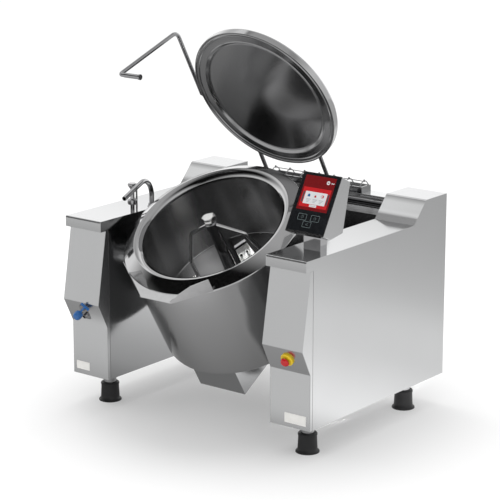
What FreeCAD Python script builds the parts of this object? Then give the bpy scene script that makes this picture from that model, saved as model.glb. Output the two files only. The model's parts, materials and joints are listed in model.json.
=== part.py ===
"""Tilting braising pan with mixer, between two floor-standing cabinets.

Millimetres. X runs to the right, Y to the back, Z up from the floor. The origin is on the
floor at the middle of the machine's outline. The pan is modelled upright about its own rim
centre and then tilted about the trunnions; the lid is modelled closed and then opened.
"""
import FreeCAD, Part
import os
from math import atan2, cos, degrees, hypot, radians, sin, sqrt

V = FreeCAD.Vector

os.makedirs("parts", exist_ok=True)

# Machine outline
overall_width = 1360.0
worktop_height = 900.0
cabinet_depth = 1072.0
body_clearance = 147.0
fascia_y = -447.24
side_clearance = 55.0
sheet = 2.0
base_sheet = 3.0
seam = 0.5

# Worktop lip, and rear riser measured forward from the cabinet's back
lip_height = 49.0
riser_rise = 101.0
riser_foot = 265.0
riser_brow = 171.0

# Folded front panel, measured back from the fascia and down from the worktop
panel_setback = 32.0
panel_return = 50.0
nose_forward = 26.0
nose_drop = 387.0
undercut_drop = 502.0
slant_top_setback = 40.0

# Feet, the front ones measured from the fascia and the rear ones from the back
foot_front = 162.0
foot_rear = 163.0
foot_stem_radius = 30.0
foot_sleeve_radius = 42.0
foot_flange_radius = 53.0
foot_flange_height = 8.0
foot_sleeve_height = 88.0
foot_stem_depth = 60.0
foot_fit = 0.2

# Trunnion axis and pan place
trunnion_back = 229.0
trunnion_drop = 198.0
rim_back = 98.6
rim_rise = 184.7
pan_tilt = 31.31
trunnion_radius = 30.0
trunnion_boss_radius = 55.0
trunnion_boss_gap = 19.0
trunnion_reach = 96.0
bearing_flange_radius = 62.0
bearing_hub_radius = 46.0
bearing_flange = 10.0
bearing_length = 34.0
panel_hole_gap = 5.0
shaft_fit = 0.05

# Tilt gearbox and its motor, and the electrical box in the other cabinet
tilt_gear_half = 70.0
tilt_gear_drop = 60.0
tilt_motor_radius = 48.0
tilt_motor_length = 210.0
tilt_cowl_radius = 52.0
tilt_cowl_length = 40.0
control_box_gap = 20.0
control_box_back = 420.0
control_box_depth = 400.0
control_box_height = 420.0

# Pan, with its heights measured from the rim's inner edge
vessel_radius = 345.0
vessel_wall = 4.0
vessel_depth = 362.0
vessel_floor = 12.0
vessel_corner = 8.0
vessel_shoulder = 26.0
rim_throat = 16.4
rim_width = 34.1
rim_crown = 20.2
rim_bead_radius = 4.5
jacket_gap = 67.0
jacket_wall = 3.0
collar_overhang = 9.0
collar_drop = 14.0
collar_hem = 8.0
collar_sheet = 3.0
jacket_depth = 522.0
jacket_corner = 8.0
jacket_seat = 0.3

# Pouring spout
spout_front_half = 86.0
spout_reach = 45.0
spout_rear_half = 241.0
spout_sheet = 3.0
spout_wall_rear = 52.0
spout_wall_mid = 43.0
spout_wall_front = 8.0

# Mixer drive below the pan
cover_half_width = 130.0
cover_front = 343.0
cover_rear = 140.0
cover_height = 180.0
gearbox_side = 150.0
gearbox_height = 110.0
gearbox_neck_radius = 50.0
gearbox_socket = 20.0
motor_radius = 50.0
motor_length = 200.0
shaft_radius = 10.0
shaft_foot_gap = 5.0
post_radius = 16.0
post_top = 30.0
element_count = 3
element_inset = 53.0
element_pitch = 80.0
element_width = 22.0
element_height = 8.0

# Mixer
column_top_radius = 22.0
column_foot_radius = 34.0
column_gap = 1.5
hub_radius = 26.0
hub_bottom = -12.0
hub_top = 22.0
floor_gap = 1.5
arm_tube = 9.0
arm_bend_out = 138.0
arm_bend_down = 63.0
arm_knee_out = 215.0
arm_knee_down = 250.0
arm_foot_out = 212.0
arm_bend_radius = 44.0
arm_knee_radius = 26.0
left_arm_bearing = 185.0
right_arm_bearing = 20.0
blade_length = 70.0
blade_height = 14.0
blade_thick = 10.0
paddle_bearing = 65.0
paddle_inner = 54.0
paddle_top_width = 60.0
paddle_flare = 34.0
paddle_top = 170.0
paddle_thick = 8.0
paddle_holder = 12.0
paddle_bolt_radius = 5.0
paddle_bolt_drop = 42.0
paddle_bolt_pitch = 33.0
fin_thick = 6.0
fin_top = 50.0
fin_shoulder = 34.0
knob_radius = 37.0
knob_height = 24.0
knob_lobes = 3
knob_neck_radius = 14.0
knob_neck = 8.0
knob_gap = 0.3
shaft_stub = 16.0

# Lid hinge, in from the cabinet's back and up from the worktop, and the lid from its rim
hinge_inset = 167.0
hinge_rise = 40.0
lid_gap = 3.0
lid_open = 60.12
lid_overhang = 6.9
lid_height = 40.0
lid_corner = 14.0
lid_crown = 52.0
lid_sheet = 2.0
lid_rim_width = 17.0
liner_step_inset = 51.6
liner_slope = 18.0
liner_recess = 14.0
hinge_shaft_radius = 14.0
hinge_flange_radius = 38.0
hinge_flange = 6.0
barrel_radius = 22.0
barrel_length = 50.0
lid_arm_spread = 178.0
lid_arm_radius = 9.5

# Lid handle, in the closed lid's axes
handle_tube = 9.5
handle_gap = 1.0
handle_tail = 29.5
handle_run = 325.6
handle_rise = 12.0
handle_drop = 398.0
handle_lean = 70.4
handle_bend = 38.0
handle_elbow = 16.0
grip_radius = 11.0
grip_inset = 30.0
grip_length = 82.0
grip_cap_radius = 12.8
grip_cap = 8.0

# Rear cross beam, flue box and guard, up from the worktop and in from the cabinet's back
beam_rise = 58.0
beam_height = 90.0
beam_depth = 87.0
beam_lip = 12.0
beam_band = 30.0
louvre_drop = 29.0
louvre_pitch = 17.0
louvre_gap = 4.0
louvre_height = 6.0
louvre_depth = 40.0
flue_half_width = 270.0
flue_inset = 12.0
flue_depth = 75.0
flue_height = 29.0
flue_slot_depth = 56.0
flue_slot_inset = 10.0
flue_hole_radius = 7.0
flue_hole_drop = 14.0
guard_count = 7
guard_pitch = 86.0
guard_wire = 2.5
guard_rail = 2.0
guard_height = 20.0
guard_span = 68.0
guard_crest = 32.0
guard_bend = 12.0
guard_ball = 5.0
cross_panel_height = 308.0
cross_panel_inset = 32.0

# Control console, its corners back from the fascia and up from the worktop
console_width = 200.0
console_face_foot = (116.0, 83.0)
console_face_head = (250.0, 318.0)
console_back_head = (309.0, 286.0)
console_back_foot = (258.0, 73.0)
console_keel = (167.0, 60.0)
console_sheet = 2.0
glass_margin = 4.0
glass_lip = 9.0
glass_thick = 6.0
neck_width = 88.0
neck_front = 174.0
neck_depth = 46.0
neck_rise = 100.0

# Water tap on the left worktop
tap_inset = 23.0
tap_back = 379.0
tap_tube = 11.5
tap_bore = 9.0
tap_bore_depth = 60.0
tap_bearing = 14.0
tap_crest = 157.0
tap_reach = 273.0
tap_tip_height = 93.0
tap_bend = 86.0
tap_nut_radius = 17.0
tap_nut_height = 16.0
tap_valve_inset = 28.0
tap_valve_back = 250.0
tap_column_radius = 10.0
tap_collar_radius = 23.0
tap_knob_radius = 21.0
tap_column_height = 104.0
tap_spindle_radius = 4.0
tap_pipe_radius = 4.5
tap_pipe_gap = 29.0
tap_pipe_height = 96.0

# Fittings on the undercut of the front panels
stop_inset = 95.0
stop_down = 57.0
stop_collar_radius = 30.0
stop_collar_height = 11.0
stop_stem_radius = 8.0
stop_head_radius = 20.0
stop_travel = 5.0
stop_travel_spare = 1.0
stop_head_height = 17.0
stop_block = 44.0
cock_inset = 107.0
cock_down = 40.0
cock_flange = 44.0
cock_flange_foot = 56.0
cock_flange_thick = 3.0
cock_body_radius = 9.0
cock_body_height = 26.0
cock_body_depth = 34.0
cock_outlet_down = 34.0
cock_outlet_radius = 11.0
cock_outlet_bore = 7.5
cock_outlet_height = 16.0
cock_stem_radius = 5.0
cock_grip_radius = 20.0
cock_grip_length = 40.0
cock_wing_out = 50.0
cock_wing_low = 16.0
cock_wing_width = 46.0
cock_wing_turn = 45.0

# Values that follow
jacket_radius = vessel_radius + jacket_gap
collar_radius = jacket_radius + collar_overhang
rim_inner_radius = vessel_radius - rim_throat
rim_outer_radius = rim_inner_radius + rim_width
lid_radius = rim_outer_radius + lid_overhang
half_width = overall_width / 2.0
inner_x = jacket_radius + side_clearance
cabinet_width = half_width - inner_x
foot_x = half_width - cabinet_width / 2.0
back_y = fascia_y + cabinet_depth
lip_z = worktop_height - lip_height
riser_z = worktop_height + riser_rise
nose_height = worktop_height - nose_drop
undercut_height = worktop_height - undercut_drop
slope = hypot(panel_setback + nose_forward, nose_height - undercut_height)
trunnion = V(0, fascia_y + trunnion_back, worktop_height - trunnion_drop)
hinge = V(0, back_y - hinge_inset, worktop_height + hinge_rise)
lid_reach = cabinet_depth - hinge_inset - trunnion_back - rim_back
lid_drop = hinge.z - trunnion.z - rim_rise - rim_crown - lid_gap
beam_front = cabinet_depth - beam_depth
beam_top = worktop_height + beam_rise
beam_bottom = beam_top - beam_height
flue_back = cabinet_depth - flue_inset
flue_front = flue_back - flue_depth
flue_top = beam_top + flue_height


def at(back, height):
    """A point of a side profile, given behind the fascia and above the floor."""
    return (fascia_y + back, height)


def above_worktop(corner):
    """The same kind of point, given up from the worktop."""
    return at(corner[0], worktop_height + corner[1])


def offset_line(points, distance):
    """The same open line moved sideways to its right, with mitred corners."""
    normals = []
    for (a0, b0), (a1, b1) in zip(points, points[1:]):
        length = hypot(a1 - a0, b1 - b0)
        normals.append(((b1 - b0) / length, -(a1 - a0) / length))
    moved = []
    for i, (a, b) in enumerate(points):
        before = normals[max(i - 1, 0)]
        after = normals[min(i, len(normals) - 1)]
        scale = distance / (1.0 + before[0] * after[0] + before[1] * after[1])
        moved.append((a + (before[0] + after[0]) * scale, b + (before[1] + after[1]) * scale))
    return moved


def strip(points, distance):
    """A closed outline of a sheet that follows an open line."""
    return points + offset_line(points, distance)[::-1]


def prism_x(outline, x0, x1):
    """A solid with a (y, z) outline between two x planes."""
    wire = Part.makePolygon([V(x0, y, z) for y, z in outline + outline[:1]])
    return Part.Face(wire).extrude(V(x1 - x0, 0, 0))


def prism_z(outline, z0, z1):
    """A solid with an (x, y) outline between two z planes."""
    wire = Part.makePolygon([V(x, y, z0) for x, y in outline + outline[:1]])
    return Part.Face(wire).extrude(V(0, 0, z1 - z0))


def turned(outline):
    """A solid of revolution about Z from a closed (radius, z) outline."""
    wire = Part.makePolygon([V(r, 0, z) for r, z in outline + outline[:1]])
    return Part.Face(wire).revolve(V(0, 0, 0), V(0, 0, 1), 360)


def turned_edges(edges):
    """A solid of revolution about Z from edges that close an outline in the XZ plane."""
    return Part.Face(Part.Wire(Part.__sortEdges__(edges))).revolve(V(0, 0, 0), V(0, 0, 1), 360)


def box(x0, x1, y0, y1, z0, z1):
    return Part.makeBox(x1 - x0, y1 - y0, z1 - z0, V(x0, y0, z0))


def rod(radius, start, end):
    """A cylinder between two points."""
    axis = end - start
    return Part.makeCylinder(radius, axis.Length, start, axis)


def bent_tube(points, bends, radius):
    """A round bar along straight runs joined by tangent arcs."""
    pieces = []
    start = points[0]
    for i, bend in enumerate(bends, 1):
        before = (points[i - 1] - points[i]).normalize()
        after = (points[i + 1] - points[i]).normalize()
        half_corner = before.getAngle(after) / 2.0
        reach = bend * cos(half_corner) / sin(half_corner)
        elbow_start = points[i] + before * reach
        centre = points[i] + (before + after).normalize() * (bend / sin(half_corner))
        pieces.append(rod(radius, start, elbow_start))
        section = Part.Face(Part.Wire(Part.makeCircle(radius, elbow_start, before)))
        axis = (elbow_start - centre).cross(before * -1.0)
        pieces.append(section.revolve(centre, axis, 180.0 - degrees(2.0 * half_corner)))
        start = points[i] + after * reach
    pieces.append(rod(radius, start, points[-1]))
    return fused(*pieces)


def fused(first, *others):
    return first.fuse(list(others)).removeSplitter()


def mirrored(shape):
    return shape.mirror(V(0, 0, 0), V(1, 0, 0))


def save(name, *solids):
    """Write one sub-part, which may be a group of separate solids."""
    shape = solids[0] if len(solids) == 1 else Part.makeCompound(list(solids))
    shape.exportStep("parts/%s.step" % name)


def save_pair(name, shape):
    """Write a right-hand sub-part and its mirror image."""
    save("right_" + name, shape)
    save("left_" + name, mirrored(shape))


def pan_place(shape):
    """Move a shape from the upright pan's axes to the tilted pan."""
    moved = shape.copy()
    moved.translate(V(0, rim_back, rim_rise))
    moved.rotate(V(0, 0, 0), V(1, 0, 0), pan_tilt)
    moved.translate(trunnion)
    return moved


def lid_place(shape):
    """Move a shape from the closed lid's axes to the open lid."""
    moved = shape.copy()
    moved.translate(V(0, -lid_reach, -lid_drop))
    moved.rotate(V(0, 0, 0), V(1, 0, 0), -lid_open)
    moved.translate(hinge)
    return moved


def undercut_place(shape, x, down):
    """Move a shape that stands on the XY plane to the undercut, a distance below the nose."""
    run = (panel_setback + nose_forward) / slope
    fall = (nose_height - undercut_height) / slope
    moved = shape.copy()
    moved.rotate(V(0, 0, 0), V(1, 0, 0), degrees(atan2(fall, -run)))
    moved.translate(V(x, fascia_y - nose_forward + run * down, nose_height - fall * down))
    return moved


def cover_line():
    """Outer line of the worktop cover, from its lip to the back of the riser."""
    return [at(0, lip_z), at(0, worktop_height),
            at(cabinet_depth - riser_foot, worktop_height),
            at(cabinet_depth - riser_brow, riser_z), at(cabinet_depth, riser_z)]


def front_line():
    """Outer line of the folded front panel, from its foot upwards."""
    return [at(panel_setback, body_clearance), at(panel_setback, undercut_height),
            at(-nose_forward, nose_height), at(slant_top_setback, worktop_height - 2.0 * sheet)]


def slant_setback(height):
    """How far behind the fascia the slanted panel lies at a height."""
    share = (height - nose_height) / (worktop_height - 2.0 * sheet - nose_height)
    return -nose_forward + share * (slant_top_setback + nose_forward)


def make_worktop():
    cover = prism_x(strip(cover_line(), sheet), inner_x, half_width)
    save("right_worktop", cover)
    save("left_worktop", mirrored(cover))


def side_panel():
    under = offset_line(cover_line(), sheet)
    outline = [at(panel_return, body_clearance), at(cabinet_depth - sheet, body_clearance),
               at(cabinet_depth - sheet, riser_z - sheet)]
    outline += [under[3], under[2], under[1], (under[1][0], lip_z), at(panel_return, lip_z)]
    return prism_x(outline, 0, sheet)


def make_side_panels():
    outer = side_panel()
    outer.translate(V(half_width - sheet, 0, 0))
    inner = side_panel()
    inner.translate(V(inner_x, 0, 0))
    hole = trunnion_radius + panel_hole_gap
    inner = inner.cut(rod(hole, trunnion, trunnion + V(half_width, 0, 0)))
    save_pair("outer_side_panel", outer)
    save_pair("inner_side_panel", inner)


def make_front_panels():
    ear_top = lip_z - seam
    skin = prism_x(strip(front_line(), sheet), inner_x, half_width)
    for x in (inner_x, half_width - sheet):
        skin = skin.cut(box(x - 1, x + sheet + 1, fascia_y - 50, fascia_y + 80, ear_top, riser_z))
    outline = front_line()[:3]
    outline += [at(slant_setback(ear_top), ear_top), at(panel_return - seam, ear_top),
                at(panel_return - seam, body_clearance)]
    left_return = prism_x(outline, inner_x, inner_x + sheet)
    right_return = prism_x(outline, half_width - sheet, half_width)
    panel = fused(skin, left_return, right_return)
    stop_hole = Part.makeCylinder(stop_stem_radius + 3, 40, V(0, 0, -20))
    cock_hole = Part.makeCylinder(cock_body_radius + 2, 40, V(0, 0, -20))
    save("right_front_panel", panel.cut(undercut_place(stop_hole, half_width - stop_inset, stop_down)))
    left = mirrored(panel).cut(undercut_place(cock_hole, cock_inset - half_width, cock_down))
    save("left_front_panel", left)


def make_backs_and_bases():
    back = box(inner_x, half_width, back_y - sheet, back_y, body_clearance, riser_z - sheet)
    save("cabinet_backs", back, mirrored(back))
    base = box(inner_x + sheet, half_width - sheet, fascia_y + panel_setback + sheet, back_y - sheet,
               body_clearance, body_clearance + base_sheet)
    save("cabinet_bases", base, mirrored(base))


def make_feet():
    stem = Part.makeCylinder(foot_stem_radius, body_clearance - foot_sleeve_height + foot_stem_depth,
                             V(0, 0, foot_sleeve_height - foot_stem_depth))
    bore = foot_stem_radius + foot_fit
    collar = foot_sleeve_height - 4.0
    sleeve = turned([(0, 0), (foot_flange_radius, 0), (foot_flange_radius, foot_flange_height / 2),
                     (foot_flange_radius - 3, foot_flange_height),
                     (foot_sleeve_radius + 2, foot_flange_height + 4),
                     (foot_sleeve_radius - 1, collar - 8), (foot_sleeve_radius + 1, collar - 6),
                     (foot_sleeve_radius + 1, collar), (foot_sleeve_radius - 2, foot_sleeve_height),
                     (bore, foot_sleeve_height), (bore, foot_sleeve_height - foot_stem_depth),
                     (0, foot_sleeve_height - foot_stem_depth)])
    rows = (fascia_y + foot_front, back_y - foot_rear)
    spots = [V(x, y, 0) for x in (-foot_x, foot_x) for y in rows]
    save("foot_stems", *[stem.translated(spot) for spot in spots])
    save("foot_sleeves", *[sleeve.translated(spot) for spot in spots])


def make_trunnion_bearings():
    face = trunnion + V(inner_x + sheet, 0, 0)
    along = V(1, 0, 0)
    flange = Part.makeCylinder(bearing_flange_radius, bearing_flange, face, along)
    hub = Part.makeCylinder(bearing_hub_radius, bearing_length, face, along)
    bore = Part.makeCylinder(trunnion_radius + shaft_fit, bearing_length + 2, face - along, along)
    bearing = fused(flange, hub).cut(bore)
    save("trunnion_bearings", bearing, mirrored(bearing))


def make_tilt_drive():
    start = inner_x + sheet + bearing_length
    half = tilt_gear_half
    low = trunnion.z - half - tilt_gear_drop
    block = box(start, start + half, trunnion.y - half, trunnion.y + half, low, trunnion.z + half)
    bore = rod(trunnion_radius + shaft_fit, V(start, trunnion.y, trunnion.z),
               V(start + half, trunnion.y, trunnion.z))
    pad = box(inner_x + sheet, start, trunnion.y - half, trunnion.y + half,
              low, trunnion.z - bearing_flange_radius - 4)
    save("tilt_gearbox", fused(block, pad).cut(bore))
    face = V(start + half / 2.0, trunnion.y + half, low + tilt_cowl_radius + 2)
    end = face + V(0, tilt_motor_length, 0)
    motor = rod(tilt_motor_radius, face, end)
    fan_cowl = rod(tilt_cowl_radius, end, end + V(0, tilt_cowl_length, 0))
    save("tilt_motor", fused(motor, fan_cowl))
    floor = body_clearance + base_sheet
    case = box(-half_width + sheet + control_box_gap, -inner_x - sheet - control_box_gap,
               fascia_y + control_box_back, fascia_y + control_box_back + control_box_depth,
               floor, floor + control_box_height)
    save("electrical_box", case)


def make_rear_beam():
    top = [at(beam_front, beam_top - beam_lip), at(beam_front, beam_top), at(cabinet_depth, beam_top),
           at(cabinet_depth, beam_bottom), at(beam_front, beam_bottom),
           at(beam_front, beam_bottom + beam_band)]
    save("rear_beam", prism_x(strip(top, sheet), -inner_x, inner_x))
    blades = []
    front = fascia_y + beam_front + louvre_gap
    for row in range(2):
        level = beam_top - louvre_drop - louvre_pitch * row
        blades.append(box(-inner_x, inner_x, front, front + louvre_depth, level, level + louvre_height))
    save("rear_louvres", *blades)
    back = back_y - cross_panel_inset
    panel = box(-inner_x, inner_x, back, back + sheet, beam_bottom - cross_panel_height, beam_bottom)
    save("rear_cross_panel", panel)


def make_flue():
    front = fascia_y + flue_front
    back = fascia_y + flue_back
    casing = box(-flue_half_width, flue_half_width, front, back, beam_top, flue_top)
    inside = box(-flue_half_width + sheet, flue_half_width - sheet, front + sheet, back - sheet,
                 beam_top - 1, flue_top - sheet)
    casing = casing.cut(inside)
    first = -guard_pitch * (guard_count - 1) / 2.0
    middle = (front + back) / 2.0
    slot_end = flue_half_width - flue_slot_inset
    holes = [box(-slot_end, slot_end, middle - flue_slot_depth / 2, middle + flue_slot_depth / 2,
                 flue_top - 2 * sheet, flue_top + sheet)]
    for i in range(guard_count - 1):
        outlet = V(first + guard_pitch * (i + 0.5), front - sheet, flue_top - flue_hole_drop)
        holes.append(rod(flue_hole_radius, outlet, outlet + V(0, 4 * sheet, 0)))
    save("flue_box", casing.cut(holes))
    hoops = []
    above = box(-flue_half_width, flue_half_width, front, back, flue_top, flue_top + 2 * guard_height)
    crown = flue_top + guard_height
    half = guard_span / 2.0
    for i in range(guard_count):
        x = first + guard_pitch * i
        path = [V(x, middle - half, flue_top), V(x, middle - guard_crest / 2.0, crown),
                V(x, middle + guard_crest / 2.0, crown), V(x, middle + half, flue_top)]
        hoops.append(bent_tube(path, [guard_bend, guard_bend], guard_wire).common(above))
        hoops.append(Part.makeSphere(guard_ball, V(x, middle, crown + guard_ball)))
    overrun = V(guard_ball + 1, 0, 0)
    rail = rod(guard_rail, V(first, middle, crown) - overrun, V(-first, middle, crown) + overrun)
    save("flue_guard", fused(rail, *hoops))


def make_console():
    x1 = half_width
    x0 = x1 - console_width
    corners = (console_face_foot, console_face_head, console_back_head, console_back_foot, console_keel)
    profile = [above_worktop(corner) for corner in corners]
    outer = prism_x(profile, x0, x1)
    closed = profile + profile[:1]
    ring = offset_line([profile[-1]] + closed + [profile[1]], console_sheet)[1:-2]
    inner = prism_x(ring, x0 + console_sheet, x1 - console_sheet)
    shell = outer.cut(inner)
    foot = V(x0 + glass_margin, *above_worktop(console_face_foot))
    head = V(x0 + glass_margin, *above_worktop(console_face_head))
    up = (head - foot).normalize()
    inward = V(1, 0, 0).cross(up) * -1.0
    inward = inward if inward.y > 0 else inward * -1.0
    corner = foot + up * glass_lip
    width = V(console_width - 2 * glass_margin, 0, 0)
    height = up * ((head - foot).Length - glass_lip - glass_margin)
    face = Part.Face(Part.makePolygon([corner, corner + width, corner + width + height,
                                       corner + height, corner]))
    opening = face.extrude(inward * glass_thick)
    ledge = 6.0
    inset = V(ledge, 0, 0) + up * ledge
    seat_width = width - V(2 * ledge, 0, 0)
    seat_height = height - up * (2 * ledge)
    seat = Part.Face(Part.makePolygon([corner + inset, corner + inset + seat_width,
                                       corner + inset + seat_width + seat_height,
                                       corner + inset + seat_height, corner + inset]))
    border = V(console_sheet, 0, 0) + up * console_sheet
    tray_width = width + V(2 * console_sheet, 0, 0)
    tray_height = height + up * (2 * console_sheet)
    tray_foot = corner - border
    tray_face = Part.Face(Part.makePolygon([tray_foot, tray_foot + tray_width,
                                            tray_foot + tray_width + tray_height,
                                            tray_foot + tray_height, tray_foot]))
    tray = tray_face.extrude(inward * (glass_thick + console_sheet))
    tray = tray.cut(opening).cut(seat.extrude(inward * 20.0))
    shell = shell.cut(opening).fuse(tray).removeSplitter()
    save("console_housing", shell)
    save("console_glass", opening)
    centre = (x0 + x1) / 2.0
    neck = box(centre - neck_width / 2, centre + neck_width / 2, fascia_y + neck_front,
               fascia_y + neck_front + neck_depth, worktop_height, worktop_height + neck_rise)
    hollow = box(centre - neck_width / 2 + sheet, centre + neck_width / 2 - sheet,
                 fascia_y + neck_front + sheet, fascia_y + neck_front + neck_depth - sheet,
                 worktop_height - 1, worktop_height + neck_rise + 1)
    save("console_neck", neck.cut(hollow).cut(outer))


def make_tap():
    x = -inner_x - tap_inset
    y = fascia_y + tap_back
    nut = turned([(tap_tube + shaft_fit, 0), (tap_nut_radius + 3, 0), (tap_nut_radius + 3, 3),
                  (tap_nut_radius, 5), (tap_nut_radius - 1, tap_nut_height),
                  (tap_tube + shaft_fit, tap_nut_height)])
    save("tap_base", nut.translated(V(x, y, worktop_height)))
    along = V(sin(radians(tap_bearing)), -cos(radians(tap_bearing)), 0)
    foot = V(x, y, worktop_height + 0.3)
    crest = V(x, y, worktop_height + tap_crest)
    tip = along * tap_reach + V(x, y, worktop_height + tap_tip_height)
    mouth = rod(tap_bore, tip, tip + (crest - tip).normalize() * tap_bore_depth)
    save("tap_spout", bent_tube([foot, crest, tip], [tap_bend], tap_tube).cut(mouth))
    valve = V(-inner_x - tap_valve_inset, fascia_y + tap_valve_back, worktop_height)
    top = tap_column_height
    body = turned([(0, 0), (tap_column_radius, 0), (tap_column_radius, 30),
                   (tap_collar_radius - 4, 32), (tap_collar_radius, 38), (tap_collar_radius, 52),
                   (tap_collar_radius - 6, 57), (tap_column_radius, 60), (tap_column_radius, top), (0, top)])
    pipe = rod(tap_pipe_radius, V(0, tap_pipe_gap, 0), V(0, tap_pipe_gap, tap_pipe_height))
    bridge = tap_pipe_height - tap_pipe_radius
    link = rod(tap_pipe_radius, V(0, 0, bridge), V(0, tap_pipe_gap, bridge))
    spindle = Part.makeCylinder(tap_spindle_radius, 8.0, V(0, 0, top - 1))
    save("tap_valve", fused(body, pipe, link, spindle).translated(valve))
    fit = tap_spindle_radius + shaft_fit
    knob = turned([(fit, 0), (10, 0), (14, 6), (tap_knob_radius, 16), (tap_knob_radius, 24),
                   (tap_knob_radius - 3, 27), (0, 27), (0, 8), (fit, 8)])
    save("tap_knob", knob.translated(valve + V(0, 0, top + jacket_seat)))


def make_stop_button():
    collar = turned([(stop_stem_radius + 0.3, 0), (stop_collar_radius, 0),
                     (stop_collar_radius, stop_collar_height - 3),
                     (stop_collar_radius - 4, stop_collar_height),
                     (stop_stem_radius + 0.3, stop_collar_height)])
    seat = stop_collar_height + stop_travel + stop_travel_spare
    stem = Part.makeCylinder(stop_stem_radius, seat + 8 + 24, V(0, 0, -24))
    fit = stop_stem_radius + shaft_fit
    head = turned([(fit, seat), (stop_head_radius - 4, seat), (stop_head_radius, seat + 3),
                   (stop_head_radius, seat + 8), (stop_head_radius - 4, seat + 14),
                   (stop_head_radius - 10, seat + stop_head_height), (0, seat + stop_head_height),
                   (0, seat + 8.1), (fit, seat + 8.1)])
    half = stop_block / 2.0
    block = box(-half, half, -half, half, -50, -sheet)
    well = Part.makeCylinder(stop_stem_radius + 0.3, 34, V(0, 0, -sheet - 34))
    for name, shape in (("stop_collar", collar), ("stop_stem", stem), ("stop_button", head),
                        ("stop_switch_block", block.cut(well))):
        save(name, undercut_place(shape, half_width - stop_inset, stop_down))


def make_drain_cock():
    x = cock_inset - half_width
    half = cock_flange / 2.0
    flange = box(-half, half, -cock_flange_foot, half, 0, cock_flange_thick)
    flange = flange.makeFillet(8.0, [e for e in flange.Edges if abs(e.Vertexes[0].Z - e.Vertexes[1].Z) > 1])
    body = Part.makeCylinder(cock_body_radius, cock_body_height + cock_body_depth, V(0, 0, -cock_body_depth))
    outlet = Part.makeCylinder(cock_outlet_radius, cock_outlet_height, V(0, -cock_outlet_down, 0))
    drain = Part.makeCylinder(cock_outlet_bore, cock_outlet_height, V(0, -cock_outlet_down, cock_flange_thick))
    bore = Part.makeCylinder(cock_stem_radius + shaft_fit, 20, V(0, 0, cock_body_height - 18))
    valve = fused(flange, body, outlet).cut([drain, bore])
    save("drain_cock", undercut_place(valve, x, cock_down))
    stem = Part.makeCylinder(cock_stem_radius, 18, V(0, 0, cock_body_height - 17))
    low = cock_body_height + jacket_seat
    high = low + cock_grip_length
    grip = turned([(0, low), (cock_grip_radius - 7, low), (cock_grip_radius - 2, low + 5),
                   (cock_grip_radius, low + 13), (cock_grip_radius, high - 15), (cock_grip_radius - 3, high - 6),
                   (cock_grip_radius - 9, high - 1), (0, high)])
    wing = box(-5, 5, -cock_wing_width / 2, cock_wing_width / 2, -4, 4)
    wing.translate(V(cock_wing_out, 0, cock_wing_low))
    neck = rod(4.5, V(0, 0, low + 12), V(cock_wing_out, 0, cock_wing_low))
    handle = fused(grip, stem, neck, wing)
    handle.rotate(V(0, 0, 0), V(0, 0, 1), cock_wing_turn)
    save("drain_handle", undercut_place(handle, x, cock_down))


def collar_line():
    return [(collar_radius, -collar_drop - collar_hem), (collar_radius, -collar_drop),
            (rim_outer_radius, rim_crown), (rim_inner_radius, 0), (vessel_radius, -vessel_shoulder)]


def make_pan():
    collar = turned(strip(collar_line(), -collar_sheet))
    bead = Part.makeTorus(rim_inner_radius + rim_bead_radius, rim_bead_radius, V(0, 0, -collar_sheet))
    save("pan_collar", pan_place(fused(collar, bead)))
    floor = -vessel_depth
    corner = vessel_radius - vessel_corner
    bend = vessel_corner * (1 - sqrt(0.5))
    outer = vessel_radius + vessel_wall
    shoulder = -vessel_shoulder - jacket_seat
    edges = [Part.LineSegment(V(post_radius, 0, floor), V(corner, 0, floor)).toShape(),
             Part.Arc(V(corner, 0, floor), V(vessel_radius - bend, 0, floor + bend),
                      V(vessel_radius, 0, floor + vessel_corner)).toShape()]
    for (r0, z0), (r1, z1) in (
            ((vessel_radius, floor + vessel_corner), (vessel_radius, shoulder)),
            ((vessel_radius, shoulder), (outer, shoulder)),
            ((outer, shoulder), (outer, floor - vessel_floor)),
            ((outer, floor - vessel_floor), (post_radius, floor - vessel_floor)),
            ((post_radius, floor - vessel_floor), (post_radius, floor))):
        edges.append(Part.LineSegment(V(r0, 0, z0), V(r1, 0, z1)).toShape())
    save("pan_vessel", pan_place(turned_edges(edges)))
    run = (jacket_radius - rim_outer_radius) / (collar_radius - rim_outer_radius)
    fall = rim_crown + collar_drop
    thick = collar_sheet * hypot(collar_radius - rim_outer_radius, fall) / (collar_radius - rim_outer_radius)
    top = rim_crown - run * fall - thick - jacket_seat
    low = -jacket_depth + jacket_corner + 8
    inner = jacket_radius - jacket_wall
    jacket = turned([(inner, top), (jacket_radius, top), (jacket_radius, low), (inner, low)])
    save("pan_jacket", pan_place(jacket))
    base = turned([(60, -jacket_depth), (jacket_radius - jacket_corner, -jacket_depth),
                   (jacket_radius, -jacket_depth + jacket_corner), (jacket_radius, low), (inner, low),
                   (inner, -jacket_depth + jacket_corner + 1),
                   (jacket_radius - jacket_corner - 1, -jacket_depth + jacket_wall),
                   (60, -jacket_depth + jacket_wall)])
    save("pan_base", pan_place(base))
    under = floor - vessel_floor - jacket_seat
    rings = []
    for i in range(element_count):
        outer = vessel_radius - element_inset - element_pitch * i
        inner = outer - element_width
        rings.append(pan_place(turned([(inner, under - element_height), (outer, under - element_height),
                                       (outer, under), (inner, under)])))
    save("heating_elements", *rings)


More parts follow.
